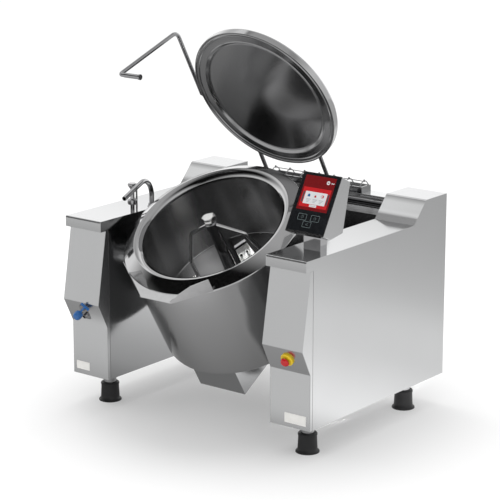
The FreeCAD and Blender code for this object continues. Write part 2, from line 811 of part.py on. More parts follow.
def make_spout():
    top = -collar_drop
    spout_front = collar_radius + spout_reach
    spout_rear = sqrt((collar_radius + 1.5) ** 2 - spout_rear_half ** 2)
    floor = prism_z([(-spout_front_half, -spout_front), (spout_front_half, -spout_front),
                     (spout_rear_half, -spout_rear), (-spout_rear_half, -spout_rear)], top - spout_sheet, top)
    front = V(spout_front_half, -spout_front, 0)
    rear = V(spout_rear_half, -spout_rear, 0)
    along = (rear - front).normalize()
    length = (rear - front).Length
    inward = V(0, 0, 1).cross(along)
    levels = [(0, -spout_sheet), (length, -spout_sheet), (length, spout_wall_rear - top),
              (length * 0.56, spout_wall_mid - top), (length * 0.27, (spout_wall_mid - top) * 0.62),
              (0, spout_wall_front)]
    corners = [front + along * run + V(0, 0, top + level) for run, level in levels]
    wall = Part.Face(Part.makePolygon(corners + corners[:1])).extrude(inward * spout_sheet)
    spout = fused(floor, wall, mirrored(wall))
    rim = Part.makeCylinder(collar_radius + 0.1, 200, V(0, 0, -100))
    save("pouring_spout", pan_place(spout.cut(rim)))


def make_trunnions():
    axis = V(0, -rim_back, -rim_rise)
    seat = sqrt(jacket_radius ** 2 - rim_back ** 2)
    boss = rod(trunnion_boss_radius, axis + V(seat - 30, 0, 0), axis + V(inner_x - trunnion_boss_gap, 0, 0))
    pin = rod(trunnion_radius, axis + V(seat, 0, 0), axis + V(inner_x + trunnion_reach, 0, 0))
    drum = Part.makeCylinder(jacket_radius, jacket_depth, V(0, 0, -jacket_depth))
    stub = fused(boss, pin).cut(drum)
    save("pan_trunnions", pan_place(stub), pan_place(mirrored(stub)))


def make_mixer_drive():
    top = -jacket_depth
    low = top - cover_height
    half = cover_half_width
    cover = box(-half, half, -cover_front, cover_rear, low, top)
    inside = box(-half + sheet, half - sheet, -cover_front + sheet, cover_rear - sheet, low + sheet, top + 1)
    save("drive_cover", pan_place(cover.cut(inside)))
    side = gearbox_side / 2.0
    lid = top - 1.0
    foot = lid - gearbox_height
    neck_top = -vessel_depth - vessel_floor
    gearbox = box(-side, side, -side, side, foot, lid)
    neck = Part.makeCylinder(gearbox_neck_radius, neck_top - jacket_seat - lid, V(0, 0, lid))
    bore = Part.makeCylinder(shaft_radius + shaft_fit, jacket_depth, V(0, 0, foot + gearbox_socket))
    save("mixer_gearbox", pan_place(fused(gearbox, neck).cut(bore)))
    z = foot + motor_radius
    save("mixer_motor", pan_place(rod(motor_radius, V(0, -side, z), V(0, -side - motor_length, z))))
    fit = shaft_radius + shaft_fit
    post = turned([(fit, neck_top), (post_radius, neck_top), (post_radius, -post_top), (fit, -post_top)])
    save("centre_post", pan_place(post))


def around_pan(shape, bearing):
    """Turn a shape about the pan's axis and move it to the tilted pan."""
    placed = shape.copy()
    placed.rotate(V(0, 0, 0), V(0, 0, 1), bearing)
    return pan_place(placed)


def prism_y(outline, thick):
    """A plate across the XZ plane with an (x, z) outline."""
    wire = Part.makePolygon([V(x, -thick / 2.0, z) for x, z in outline + outline[:1]])
    return Part.Face(wire).extrude(V(0, thick, 0))


def make_mixer():
    shaft_foot = -jacket_depth - 1.0 - gearbox_height + gearbox_socket + shaft_foot_gap
    shaft_top = hub_top + shaft_stub
    shaft = Part.makeCylinder(shaft_radius, shaft_top - shaft_foot, V(0, 0, shaft_foot))
    save("mixer_shaft", pan_place(shaft))
    foot = -vessel_depth + floor_gap
    bore = post_radius + column_gap
    column = turned([(bore, foot), (column_foot_radius, foot), (column_top_radius, hub_bottom),
                     (hub_radius, hub_bottom), (hub_radius, hub_top - 5), (hub_radius - 5, hub_top),
                     (shaft_radius, hub_top), (shaft_radius, hub_bottom), (bore, hub_bottom)])
    save("mixer_column", pan_place(column))
    core = Part.makeCylinder(hub_radius, hub_top - hub_bottom, V(0, 0, hub_bottom))
    path = [V(hub_radius - 6, 0, (hub_bottom + hub_top) / 2.0), V(arm_bend_out, 0, -arm_bend_down),
            V(arm_knee_out, 0, -arm_knee_down), V(arm_foot_out, 0, foot)]
    above = Part.makeCylinder(vessel_radius, vessel_depth, V(0, 0, foot + blade_height))
    arm = bent_tube(path, [arm_bend_radius, arm_knee_radius], arm_tube).cut(core).common(above)
    blade = box(arm_foot_out - blade_length / 2, arm_foot_out + blade_length / 2,
                -blade_thick / 2, blade_thick / 2, foot, foot + blade_height)
    bearings = (left_arm_bearing, right_arm_bearing)
    save("mixer_arms", *[around_pan(arm, bearing) for bearing in bearings])
    save("floor_scrapers", *[around_pan(blade, bearing) for bearing in bearings])
    make_paddle(foot)
    make_knob()


def make_paddle(foot):
    outer = paddle_inner + paddle_top_width
    head = -paddle_top - paddle_holder
    cone = turned([(0, foot), (column_foot_radius, foot), (column_top_radius, hub_bottom), (0, hub_bottom)])
    fin = prism_y([(0, foot), (paddle_inner - seam, foot), (paddle_inner - seam, -fin_top),
                   (fin_shoulder, -fin_top / 2.0), (0, -fin_top / 2.0)], fin_thick)
    holder = prism_y([(paddle_inner - 1, head), (outer, head), (outer, -paddle_top),
                      (paddle_inner - 1, -paddle_top)], 2.0 * paddle_thick)
    save("paddle_holder", around_pan(fused(fin, holder).cut(cone), paddle_bearing))
    plate = prism_y([(paddle_inner, foot), (outer + paddle_flare, foot), (outer, head), (paddle_inner, head)],
                    paddle_thick)
    across = V(0, 1, 0)
    for i in range(2):
        spot = V(paddle_inner + 0.2 * paddle_top_width + paddle_bolt_pitch * i,
                 -paddle_thick, head - paddle_bolt_drop)
        bolt = Part.makeCylinder(paddle_bolt_radius, 2.0 * paddle_thick, spot, across)
        plate = plate.fuse(bolt)
    save("mixer_paddle", around_pan(plate.removeSplitter(), paddle_bearing))


def make_knob():
    seat = hub_top + knob_gap
    head = seat + knob_neck
    top = head + knob_height
    stub = hub_top + shaft_stub + 1
    fit = shaft_radius + shaft_fit
    knob = turned([(fit, seat), (knob_neck_radius, seat), (knob_neck_radius, head), (knob_radius - 6, head),
                   (knob_radius, head + 5), (knob_radius, head + 11), (knob_radius - 5, top - 4),
                   (knob_radius - 16, top), (0, top), (0, stub), (fit, stub)])
    for i in range(knob_lobes):
        flute = Part.makeCylinder(knob_radius, top, V(1.65 * knob_radius, 0, head))
        flute.rotate(V(0, 0, 0), V(0, 0, 1), 360.0 / knob_lobes * i)
        knob = knob.cut(flute)
    save("mixer_knob", pan_place(knob))


def lid_envelope(reach_below):
    """The closed lid as a solid drum, from some way below its rim up to its crown."""
    corner = lid_radius - lid_corner
    turn = lid_corner * (1 - sqrt(0.5))
    wall_top = lid_height - lid_corner
    lines = [((0, -reach_below), (lid_radius, -reach_below)), ((lid_radius, -reach_below), (lid_radius, wall_top)),
             ((corner, lid_height), (0, lid_crown)), ((0, lid_crown), (0, -reach_below))]
    edges = [Part.LineSegment(V(r0, 0, z0), V(r1, 0, z1)).toShape() for (r0, z0), (r1, z1) in lines]
    edges.append(Part.Arc(V(lid_radius, 0, wall_top), V(lid_radius - turn, 0, lid_height - turn),
                          V(corner, 0, lid_height)).toShape())
    return turned_edges(edges)


def make_lid():
    corner = lid_radius - lid_corner
    turn = lid_corner * (1 - sqrt(0.5))
    wall_top = lid_height - lid_corner
    inner = lid_radius - lid_sheet
    under = lid_height - lid_sheet
    lines = [((lid_radius, 0), (lid_radius, wall_top)), ((corner, lid_height), (0, lid_crown)),
             ((0, lid_crown), (0, lid_crown - lid_sheet)), ((0, lid_crown - lid_sheet), (corner, under)),
             ((corner, under), (inner, wall_top)), ((inner, wall_top), (inner, 0)),
             ((inner, 0), (lid_radius, 0))]
    edges = [Part.LineSegment(V(r0, 0, z0), V(r1, 0, z1)).toShape() for (r0, z0), (r1, z1) in lines]
    edges.append(Part.Arc(V(lid_radius, 0, wall_top), V(lid_radius - turn, 0, lid_height - turn),
                          V(corner, 0, lid_height)).toShape())
    save("lid_shell", lid_place(turned_edges(edges)))
    rim = inner - jacket_seat
    step = lid_radius - liner_step_inset
    line = [(rim, 1.0), (rim - lid_rim_width, 1.0), (rim - lid_rim_width - 3, 5.0),
            (step, 5.0), (step - 3, 2.5), (step - liner_slope, liner_recess), (0, liner_recess)]
    save("lid_liner", lid_place(turned(strip(line, lid_sheet))))


def make_lid_hinge():
    shaft = rod(hinge_shaft_radius, hinge - V(inner_x, 0, 0), hinge + V(inner_x, 0, 0))
    save("lid_hinge_shaft", shaft)
    flange = Part.makeCylinder(hinge_flange_radius, hinge_flange, hinge + V(inner_x - hinge_flange, 0, 0), V(1, 0, 0))
    flange = flange.cut(shaft)
    save("hinge_flanges", flange, mirrored(flange))
    axis = V(lid_arm_spread, lid_reach, lid_drop)
    half = V(barrel_length / 2.0, 0, 0)
    barrel = rod(barrel_radius, axis - half, axis + half)
    bore = rod(hinge_shaft_radius + shaft_fit, axis - half * 1.2, axis + half * 1.2)
    tube = rod(lid_arm_radius, axis, V(lid_arm_spread, 0, lid_drop))
    arm = fused(barrel, tube.cut(lid_envelope(lid_arm_radius))).cut(bore)
    save("right_lid_arm", lid_place(arm))
    save("left_lid_arm", lid_place(mirrored(arm)))


def make_lid_handle():
    x = -(lid_radius + handle_tube + handle_gap)
    knuckle = V(x, -handle_run, handle_rise)
    elbow = V(x, -handle_run - handle_lean, -handle_drop)
    tip = elbow + V(grip_inset, 0, 0)
    path = [V(x, handle_tail, handle_rise), knuckle, elbow, tip]
    tube = bent_tube(path, [handle_bend, handle_elbow], handle_tube)
    pads = []
    for y in (handle_tail - 12, -handle_tail - 8):
        pads.append(box(x, x + 2 * handle_tube + 6, y, y + 20, handle_rise - 6, handle_rise + 6))
    save("lid_handle", lid_place(fused(tube, *pads).cut(lid_envelope(handle_drop / 4.0))))
    grip = rod(grip_radius, tip, tip + V(grip_length, 0, 0))
    cap = rod(grip_cap_radius, tip + V(grip_length, 0, 0), tip + V(grip_length + grip_cap, 0, 0))
    save("handle_grip", lid_place(fused(grip, cap)))


make_worktop()
make_side_panels()
make_front_panels()
make_backs_and_bases()
make_feet()
make_trunnion_bearings()
make_tilt_drive()
make_rear_beam()
make_flue()
make_console()
make_tap()
make_stop_button()
make_drain_cock()
make_pan()
make_spout()
make_trunnions()
make_mixer_drive()
make_mixer()
make_lid()
make_lid_hinge()
make_lid_handle()
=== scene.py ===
"""Looks of a tilting braising pan between two steel cabinets, in metres."""
import json
import math

import bmesh
import bpy
from mathutils import Matrix, Vector


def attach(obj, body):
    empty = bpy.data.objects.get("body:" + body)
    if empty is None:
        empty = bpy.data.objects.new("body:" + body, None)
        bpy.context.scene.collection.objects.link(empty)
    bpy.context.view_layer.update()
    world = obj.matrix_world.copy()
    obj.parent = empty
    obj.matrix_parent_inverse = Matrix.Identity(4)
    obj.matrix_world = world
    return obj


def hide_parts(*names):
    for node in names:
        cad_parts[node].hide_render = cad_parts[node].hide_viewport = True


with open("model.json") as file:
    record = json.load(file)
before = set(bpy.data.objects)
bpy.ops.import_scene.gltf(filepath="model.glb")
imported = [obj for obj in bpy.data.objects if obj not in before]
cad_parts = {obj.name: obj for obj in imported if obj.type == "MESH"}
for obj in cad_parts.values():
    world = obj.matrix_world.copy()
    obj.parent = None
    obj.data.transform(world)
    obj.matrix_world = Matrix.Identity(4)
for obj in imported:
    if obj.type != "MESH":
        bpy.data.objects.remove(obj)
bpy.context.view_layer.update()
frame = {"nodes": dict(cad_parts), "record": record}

# Sizes shared with the solid model
fascia_y = -0.44724
half_width = 0.680
inner_x = 0.467
cabinet_bottom = 0.147
trunnion = Vector((0, fascia_y + 0.229, 0.702))
rim_back = 0.0986
rim_rise = 0.1847
pan_tilt = math.radians(31.31)
hinge = Vector((0, fascia_y + 0.905, 0.940))
lid_reach = 0.5774
lid_drop = 0.0301
lid_open = math.radians(60.12)
quarter_turn = math.radians(90)

# Thickness of what is printed or laid on a surface
film = 0.0002

pan_place = (Matrix.Translation(trunnion) @ Matrix.Rotation(pan_tilt, 4, "X")
             @ Matrix.Translation((0, rim_back, rim_rise)))
lid_place = (Matrix.Translation(hinge) @ Matrix.Rotation(-lid_open, 4, "X")
             @ Matrix.Translation((0, -lid_reach, -lid_drop)))

# Console glass: lower left corner, the way up the glass, and its size
console_foot = Vector((0.480, fascia_y + 0.116, 0.983))
console_run = 0.134
console_rise = 0.235
glass_up = Vector((0, console_run, console_rise)).normalized()
glass_corner = console_foot + Vector((0.004, 0, 0)) + glass_up * 0.009
glass_width = 0.192
glass_height = 0.2575
glass_place = (Matrix.Translation(glass_corner)
               @ Matrix.Rotation(math.atan2(console_rise, console_run), 4, "X"))


# Materials

def new_material(name):
    """An empty node material with its shader and output."""
    material = bpy.data.materials.new(name)
    material.use_nodes = True
    tree = material.node_tree
    tree.nodes.clear()
    shader = tree.nodes.new("ShaderNodeBsdfPrincipled")
    output = tree.nodes.new("ShaderNodeOutputMaterial")
    tree.links.new(shader.outputs["BSDF"], output.inputs["Surface"])
    return material, tree, shader


def object_coords(tree, stretch=(1, 1, 1), place=None):
    """The object's own coordinates, squeezed along the axes, or those of a turned place on it."""
    coords = tree.nodes.new("ShaderNodeTexCoord")
    mapping = tree.nodes.new("ShaderNodeMapping")
    mapping.inputs["Scale"].default_value = stretch
    if place is not None:
        mapping.vector_type = "TEXTURE"
        mapping.inputs["Location"].default_value = place.to_translation()
        mapping.inputs["Rotation"].default_value = place.to_euler()
        mapping.inputs["Scale"].default_value = [1.0 / s for s in stretch]
    tree.links.new(coords.outputs["Object"], mapping.inputs["Vector"])
    return mapping.outputs["Vector"]


def noise_on(tree, coords, scale, detail):
    """The height of a noise over the given coordinates."""
    noise = tree.nodes.new("ShaderNodeTexNoise")
    noise.inputs["Scale"].default_value = scale
    noise.inputs["Detail"].default_value = detail
    tree.links.new(coords, noise.inputs["Vector"])
    return noise.outputs["Fac"]


def even_noise(tree, scale, detail):
    """Noise without a grain."""
    return noise_on(tree, object_coords(tree), scale, detail)


def span(tree, value, low, high, first, second):
    """A value that runs from first to second between two marks."""
    remap = tree.nodes.new("ShaderNodeMapRange")
    remap.inputs["From Min"].default_value = low
    remap.inputs["From Max"].default_value = high
    remap.inputs["To Min"].default_value = first
    remap.inputs["To Max"].default_value = second
    tree.links.new(value, remap.inputs["Value"])
    return remap.outputs["Result"]


def share(tree, value, low, high):
    """How far a value is on its way from low to high."""
    return span(tree, value, low, high, 0.0, 1.0)


def colour_ramp(tree, value, stops):
    """A colour that follows a value through (position, colour) stops."""
    ramp = tree.nodes.new("ShaderNodeValToRGB")
    marks = ramp.color_ramp.elements
    for mark, (position, colour) in zip(marks, (stops[0], stops[-1])):
        mark.position = position
        mark.color = (*colour, 1)
    for position, colour in stops[1:-1]:
        marks.new(position).color = (*colour, 1)
    tree.links.new(value, ramp.inputs["Fac"])
    return ramp.outputs["Color"]


# The middle stretch of a noise, in which nearly all of it lies
noise_low = 0.3
noise_high = 0.7


def uneven(tree, noise, shader, value, less, more):
    """Roughness that wanders around a value, led by noise."""
    tree.links.new(span(tree, noise, noise_low, noise_high, value * less, value * more),
                   shader.inputs["Roughness"])


def tinted(tree, noise, tone, darkest):
    """A tone that noise darkens by up to the given share."""
    dark = [c * darkest for c in tone]
    return colour_ramp(tree, noise, ((noise_low, dark), (noise_high, tone)))


def bumped(tree, shader, noise, strength, distance):
    """A fine relief from a height value."""
    bump = tree.nodes.new("ShaderNodeBump")
    bump.inputs["Strength"].default_value = strength
    bump.inputs["Distance"].default_value = distance
    tree.links.new(noise, bump.inputs["Height"])
    tree.links.new(bump.outputs["Normal"], shader.inputs["Normal"])


def brushed_steel(name, tone, roughness, grain, metallic=1.0):
    """Stainless sheet with straight brush lines along the axis where the grain is small."""
    material, tree, shader = new_material(name)
    line_scale = 420.0
    cloud_scale = 2.2
    relief = 0.00004
    lines = noise_on(tree, object_coords(tree, grain), line_scale, 3.0)
    clouds = even_noise(tree, cloud_scale, 2.0)
    shader.inputs["Metallic"].default_value = metallic
    uneven(tree, lines, shader, roughness, 0.88, 1.12)
    tree.links.new(tinted(tree, clouds, tone, 0.97), shader.inputs["Base Color"])
    bumped(tree, shader, lines, 0.04, relief)
    return material


def turned_steel(name, tone, roughness, stretch, place, line_scale=900.0, darkest=0.96):
    """Steel brushed in circles around an axis: its lights draw out across the brush lines."""
    material, tree, shader = new_material(name)
    band_scale = 5.0
    band_grain = (1, 1, 0.12)
    split = tree.nodes.new("ShaderNodeSeparateXYZ")
    tree.links.new(object_coords(tree, place=place), split.inputs["Vector"])
    flat = tree.nodes.new("ShaderNodeCombineXYZ")
    tree.links.new(split.outputs["X"], flat.inputs["X"])
    tree.links.new(split.outputs["Y"], flat.inputs["Y"])
    radius = tree.nodes.new("ShaderNodeVectorMath")
    radius.operation = "LENGTH"
    tree.links.new(flat.outputs["Vector"], radius.inputs[0])
    profile = tree.nodes.new("ShaderNodeCombineXYZ")
    tree.links.new(radius.outputs["Value"], profile.inputs["X"])
    tree.links.new(split.outputs["Z"], profile.inputs["Y"])
    lines = noise_on(tree, profile.outputs["Vector"], line_scale, 2.0)
    # Bands along the axis that vary the tone at random; where they darken it deeply they are painted
    # reflection bands
    bands = noise_on(tree, object_coords(tree, band_grain, place), band_scale, 1.0)
    shader.inputs["Metallic"].default_value = 1.0
    shader.inputs["Anisotropic"].default_value = stretch
    shader.inputs["Anisotropic Rotation"].default_value = 0.25
    around = tree.nodes.new("ShaderNodeTangent")
    around.direction_type = "UV_MAP"
    around.uv_map = "around"
    tree.links.new(around.outputs["Tangent"], shader.inputs["Tangent"])
    uneven(tree, lines, shader, roughness, 0.93, 1.07)
    tree.links.new(tinted(tree, bands, tone, darkest), shader.inputs["Base Color"])
    return material


def bright_metal(name, tone, roughness, metallic=1.0):
    """Polished or plated metal with faint smears."""
    material, tree, shader = new_material(name)
    smears = even_noise(tree, 30.0, 4.0)
    shader.inputs["Metallic"].default_value = metallic
    uneven(tree, smears, shader, roughness, 0.8, 1.25)
    tree.links.new(tinted(tree, smears, tone, 0.93), shader.inputs["Base Color"])
    return material


def moulded(name, tone, roughness, pit=0.0004, coat=0.0):
    """Moulded plastic or rubber with a fine pebbled skin."""
    material, tree, shader = new_material(name)
    skin = even_noise(tree, 900.0, 2.0)
    wear = even_noise(tree, 22.0, 4.0)
    uneven(tree, wear, shader, roughness, 0.8, 1.2)
    tree.links.new(tinted(tree, wear, tone, 0.82), shader.inputs["Base Color"])
    shader.inputs["Coat Weight"].default_value = coat
    bumped(tree, shader, skin, 0.15, pit)
    return material


def lit_print(name, tone, glow):
    """A colour shown by the lit screen, slightly uneven."""
    material, tree, shader = new_material(name)
    colour = tinted(tree, even_noise(tree, 60.0, 2.0), tone, 0.92)
    tree.links.new(colour, shader.inputs["Base Color"])
    tree.links.new(colour, shader.inputs["Emission Color"])
    shader.inputs["Emission Strength"].default_value = glow
    shader.inputs["Roughness"].default_value = 0.25
    return material


def screen_glass(name):
    """Black glass with faint dust in its gloss."""
    material, tree, shader = new_material(name)
    clean = (0.008, 0.009, 0.01)
    dusty = (0.014, 0.015, 0.017)
    dust = even_noise(tree, 35.0, 5.0)
    tree.links.new(span(tree, dust, noise_low, noise_high, 0.05, 0.14),
                   shader.inputs["Roughness"])
    tree.links.new(colour_ramp(tree, dust, ((noise_low, clean), (noise_high, dusty))),
                   shader.inputs["Base Color"])
    shader.inputs["Coat Weight"].default_value = 0.6
    return material


# Brush lines that run up a sheet, front to back, or across
upward = (1, 1, 0.02)
lengthwise = (1, 0.02, 1)
across = (0.02, 1, 1)

upright_sheet = brushed_steel("upright_brushed_sheet", (0.76, 0.765, 0.77), 0.20, upward)
inner_sheet = brushed_steel("inner_sheet", (0.60, 0.605, 0.61), 0.13, upward)
worktop_sheet = brushed_steel("worktop_sheet", (0.86, 0.865, 0.87), 0.13, lengthwise)
console_sheet = brushed_steel("console_sheet", (0.76, 0.765, 0.77), 0.22, upward)
cross_sheet = brushed_steel("cross_sheet", (0.62, 0.625, 0.63), 0.13, across)
beam_sheet = brushed_steel("beam_sheet", (0.92, 0.925, 0.93), 0.13, across, metallic=0.85)
# A darker copy of the cross sheet: painted shade for the rear cross panel under the beam
shaded_cross_panel_sheet = brushed_steel("shaded_cross_panel_sheet", (0.16, 0.162, 0.165), 0.16, across)
dark_sheet = brushed_steel("dark_sheet", (0.40, 0.405, 0.41), 0.16, across)

# The vessel's bands, darkening its tone down to 0.40, are painted reflection bands along its wall
vessel_steel = turned_steel("vessel_steel", (0.90, 0.90, 0.905), 0.17, 0.3, pan_place,
                            darkest=0.40)
collar_steel = turned_steel("collar_steel", (0.80, 0.80, 0.805), 0.08, 0.2, pan_place, 500.0)
jacket_steel = turned_steel("jacket_steel", (0.68, 0.68, 0.685), 0.20, 0.5, pan_place, 700.0)
lid_steel = turned_steel("lid_steel", (0.50, 0.50, 0.505), 0.15, 0.4, lid_place)
lid_rim_steel = turned_steel("lid_rim_steel", (0.72, 0.72, 0.725), 0.08, 0.2, lid_place)

spout_steel = bright_metal("spout_steel", (0.72, 0.72, 0.725), 0.08)
mixer_steel = bright_metal("mixer_steel", (0.55, 0.55, 0.56), 0.08)
arm_steel = bright_metal("arm_steel", (0.95, 0.95, 0.95), 0.05)
knob_steel = bright_metal("knob_steel", (0.93, 0.93, 0.92), 0.16)
chrome = bright_metal("chrome", (0.58, 0.58, 0.59), 0.05)
tube_steel = bright_metal("tube_steel", (0.52, 0.52, 0.53), 0.10)
shaft_steel = bright_metal("shaft_steel", (0.10, 0.10, 0.105), 0.15)
neck_steel = bright_metal("neck_steel", (0.70, 0.70, 0.71), 0.07)
louvre_steel = bright_metal("louvre_steel", (0.97, 0.97, 0.975), 0.05)
dark_sheath = bright_metal("dark_sheath", (0.30, 0.27, 0.25), 0.4)
paddle_plate = bright_metal("paddle_plate", (0.92, 0.92, 0.91), 0.5, metallic=0.0)
plate_face = bright_metal("plate_face", (0.86, 0.85, 0.82), 0.45, metallic=0.1)

foot_rubber = moulded("foot_rubber", (0.020, 0.020, 0.021), 0.42)
blue_grip = moulded("blue_grip", (0.02, 0.12, 0.36), 0.28, coat=0.4)
red_button = moulded("red_button", (0.60, 0.012, 0.015), 0.25, coat=0.5)
yellow_ring = moulded("yellow_ring", (0.85, 0.60, 0.02), 0.35)
black_block = moulded("black_block", (0.03, 0.03, 0.03), 0.5)
scraper_plastic = moulded("scraper_plastic", (0.16, 0.16, 0.16), 0.4)
casting_grey = moulded("casting_grey", (0.30, 0.31, 0.32), 0.6, pit=0.0012)
motor_paint = moulded("motor_paint", (0.34, 0.36, 0.38), 0.45)
# Painted shade for the dark strips along the panel joints
seam_shade = moulded("seam_shade", (0.10, 0.10, 0.10), 0.6)
# Black for the paddle's bolt caps and for the painted shade lines under the worktop folds
cap_and_shade_line_black = moulded("cap_and_shade_line_black", (0.02, 0.02, 0.02), 0.4)

black_glass = screen_glass("black_glass")
screen_red = lit_print("screen_red", (0.17, 0.004, 0.006), 0.02)
screen_bright_red = lit_print("screen_bright_red", (0.50, 0.010, 0.014), 0.03)
screen_white = lit_print("screen_white", (0.62, 0.63, 0.64), 0.06)
screen_grey = lit_print("screen_grey", (0.06, 0.07, 0.08), 0.02)
screen_text = lit_print("screen_text", (0.35, 0.37, 0.39), 0.02)
screen_blue = lit_print("screen_blue", (0.02, 0.12, 0.30), 0.02)
key_line = lit_print("key_line", (0.16, 0.20, 0.20), 0.02)

# Each finish, the radius of its folds, and the nodes that wear it
no_fold = 0.0
thin_fold = 0.0015
console_fold = 0.0025
worktop_fold = 0.005
cad_looks = (
    (upright_sheet, thin_fold, ("left_outer_side_panel", "right_outer_side_panel",
                                "left_front_panel", "right_front_panel", "cabinet_backs")),
    (inner_sheet, no_fold, ("left_inner_side_panel", "right_inner_side_panel")),
    (worktop_sheet, worktop_fold, ("left_worktop", "right_worktop", "cabinet_bases")),
    (cross_sheet, thin_fold, ("drive_cover",)),
    (beam_sheet, thin_fold, ("rear_beam",)),
    (shaded_cross_panel_sheet, no_fold, ("rear_cross_panel",)),
    (dark_sheet, no_fold, ("flue_box",)),
    (louvre_steel, no_fold, ("rear_louvres",)),
    (console_sheet, console_fold, ("console_housing",)),
    (neck_steel, no_fold, ("console_neck",)),
    (spout_steel, no_fold, ("pouring_spout", "pan_trunnions")),
    (mixer_steel, no_fold, ("mixer_column", "mixer_shaft", "paddle_holder", "centre_post")),
    (arm_steel, no_fold, ("mixer_arms",)),
    (knob_steel, no_fold, ("mixer_knob",)),
    (chrome, no_fold, ("foot_stems", "tap_base", "tap_valve", "tap_spout", "tap_knob",
                       "flue_guard", "drain_cock")),
    (tube_steel, no_fold, ("lid_handle", "handle_grip", "left_lid_arm", "right_lid_arm",
                           "hinge_flanges", "stop_stem")),
    (shaft_steel, no_fold, ("lid_hinge_shaft",)),
    (foot_rubber, no_fold, ("foot_sleeves",)),
    (blue_grip, no_fold, ("drain_handle",)),
    (red_button, no_fold, ("stop_button",)),
    (yellow_ring, no_fold, ("stop_collar",)),
    (black_block, no_fold, ("stop_switch_block",)),
    (scraper_plastic, no_fold, ("floor_scrapers",)),
    (paddle_plate, no_fold, ("mixer_paddle",)),
    (casting_grey, no_fold, ("tilt_gearbox", "mixer_gearbox", "trunnion_bearings")),
    (motor_paint, no_fold, ("tilt_motor", "mixer_motor", "electrical_box")),
    (dark_sheath, no_fold, ("heating_elements",)),
)
node_bodies = {node: body for body, names in frame["record"]["behaviour"]["bodies"].items()
               for node in names}


# Building

def finish_piece(name, shape, material, body, stands_for=()):
    """Turn a bmesh into a piece that rides on a body."""
    bmesh.ops.remove_doubles(shape, verts=shape.verts, dist=1e-6)
    bmesh.ops.recalc_face_normals(shape, faces=shape.faces)
    mesh = bpy.data.meshes.new(name)
    shape.to_mesh(mesh)
    shape.free()
    mesh.shade_smooth()
    mesh.set_sharp_from_angle(angle=math.radians(35.0))
    mesh.materials.append(material)
    piece = bpy.data.objects.new(name, mesh)
    bpy.context.scene.collection.objects.link(piece)
    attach(piece, body)
    if stands_for:
        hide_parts(*stands_for)
    return piece


def dressed_copy(node, material, fold):
    """A merged, smooth-shaded copy of a CAD node, its folds between wide faces rounded."""
    wide_area = 0.004
    fold_angle = 0.4
    shape = bmesh.new()
    shape.from_mesh(frame["nodes"][node].data)
    bmesh.ops.remove_doubles(shape, verts=shape.verts, dist=2e-6)
    bmesh.ops.dissolve_limit(shape, angle_limit=math.radians(0.1), verts=shape.verts,
                             edges=shape.edges, use_dissolve_boundaries=False)
    if fold:
        weight = shape.edges.layers.float.new("bevel_weight_edge")
        for side in shape.edges:
            smaller = min((face.calc_area() for face in side.link_faces), default=0.0)
            turned = side.is_convex and side.calc_face_angle(0.0) > fold_angle
            if turned and smaller > wide_area:
                side[weight] = 1.0
    mesh = bpy.data.meshes.new(node + "_finished")
    shape.to_mesh(mesh)
    shape.free()
    mesh.shade_smooth()
    mesh.set_sharp_from_angle(angle=math.radians(28.0))
    mesh.materials.append(material)
    piece = bpy.data.objects.new(node + "_finished", mesh)
    bpy.context.scene.collection.objects.link(piece)
    if fold:
        bevel = piece.modifiers.new("rounded_folds", "BEVEL")
        bevel.width = fold
        bevel.segments = 3
        bevel.limit_method = "WEIGHT"
        bevel.harden_normals = True
    weighted = piece.modifiers.new("even_shading", "WEIGHTED_NORMAL")
    weighted.keep_sharp = True
    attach(piece, node_bodies[node])
    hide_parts(node)
    return piece


def spun(outline, rounds=(), steps=160):
    """An outline of (radius, z) corners, some of them rounded, turned about Z."""
    shape = bmesh.new()
    corners = [shape.verts.new((r, 0, z)) for r, z in outline]
    sides = list(zip(corners, corners[1:]))
    if outline[0][0] > 0 or outline[-1][0] > 0:
        sides.append((corners[-1], corners[0]))
    for side in sides:
        shape.edges.new(side)
    for index, size in rounds:
        bmesh.ops.bevel(shape, geom=[corners[index]], offset=size, offset_type="OFFSET",
                        segments=6, profile=0.5, affect="VERTICES", material=-1)
    bmesh.ops.spin(shape, geom=shape.verts[:] + shape.edges[:], cent=(0, 0, 0), axis=(0, 0, 1),
                   dvec=(0, 0, 0), angle=math.tau, steps=steps, use_merge=True,
                   use_duplicate=False)
    bmesh.ops.remove_doubles(shape, verts=shape.verts, dist=1e-6)
    around = shape.loops.layers.uv.new("around")
    for face in shape.faces:
        turns = [math.atan2(loop.vert.co.y, loop.vert.co.x) / math.tau for loop in face.loops]
        highest = max(turns)
        for loop, turn in zip(face.loops, turns):
            if highest - turn > 0.5:
                turn += 1.0
            loop[around].uv = (turn, loop.vert.co.z + loop.vert.co.xy.length)
    return shape


def plate(width, height, thick=film, corner=0.0):
    """A flat plate on the XY plane from the origin, its upright corners rounded."""
    shape = bmesh.new()
    bmesh.ops.create_cube(shape, size=1.0)
    bmesh.ops.scale(shape, vec=(width, height, thick), verts=shape.verts)
    bmesh.ops.translate(shape, vec=(width / 2, height / 2, thick / 2), verts=shape.verts)
    if corner:
        upright = [e for e in shape.edges
                   if abs(e.verts[0].co.z - e.verts[1].co.z) > thick / 2]
        bmesh.ops.bevel(shape, geom=upright, offset=corner, offset_type="OFFSET", segments=5,
                        profile=0.5, affect="EDGES", material=-1)
    return shape


def joined(*shapes):
    """One bmesh made of several."""
    whole = bmesh.new()
    for shape in shapes:
        scratch = bpy.data.meshes.new("scratch")
        shape.to_mesh(scratch)
        shape.free()
        whole.from_mesh(scratch)
        bpy.data.meshes.remove(scratch)
    return whole


def moved(shape, matrix):
    """A bmesh carried to its place."""
    bmesh.ops.transform(shape, matrix=matrix, verts=shape.verts)
    return shape


# Console screen

def on_glass(u, v, lift):
    """A place on the glass, by shares of its width and height."""
    return glass_place @ Matrix.Translation((u * glass_width, v * glass_height, lift))


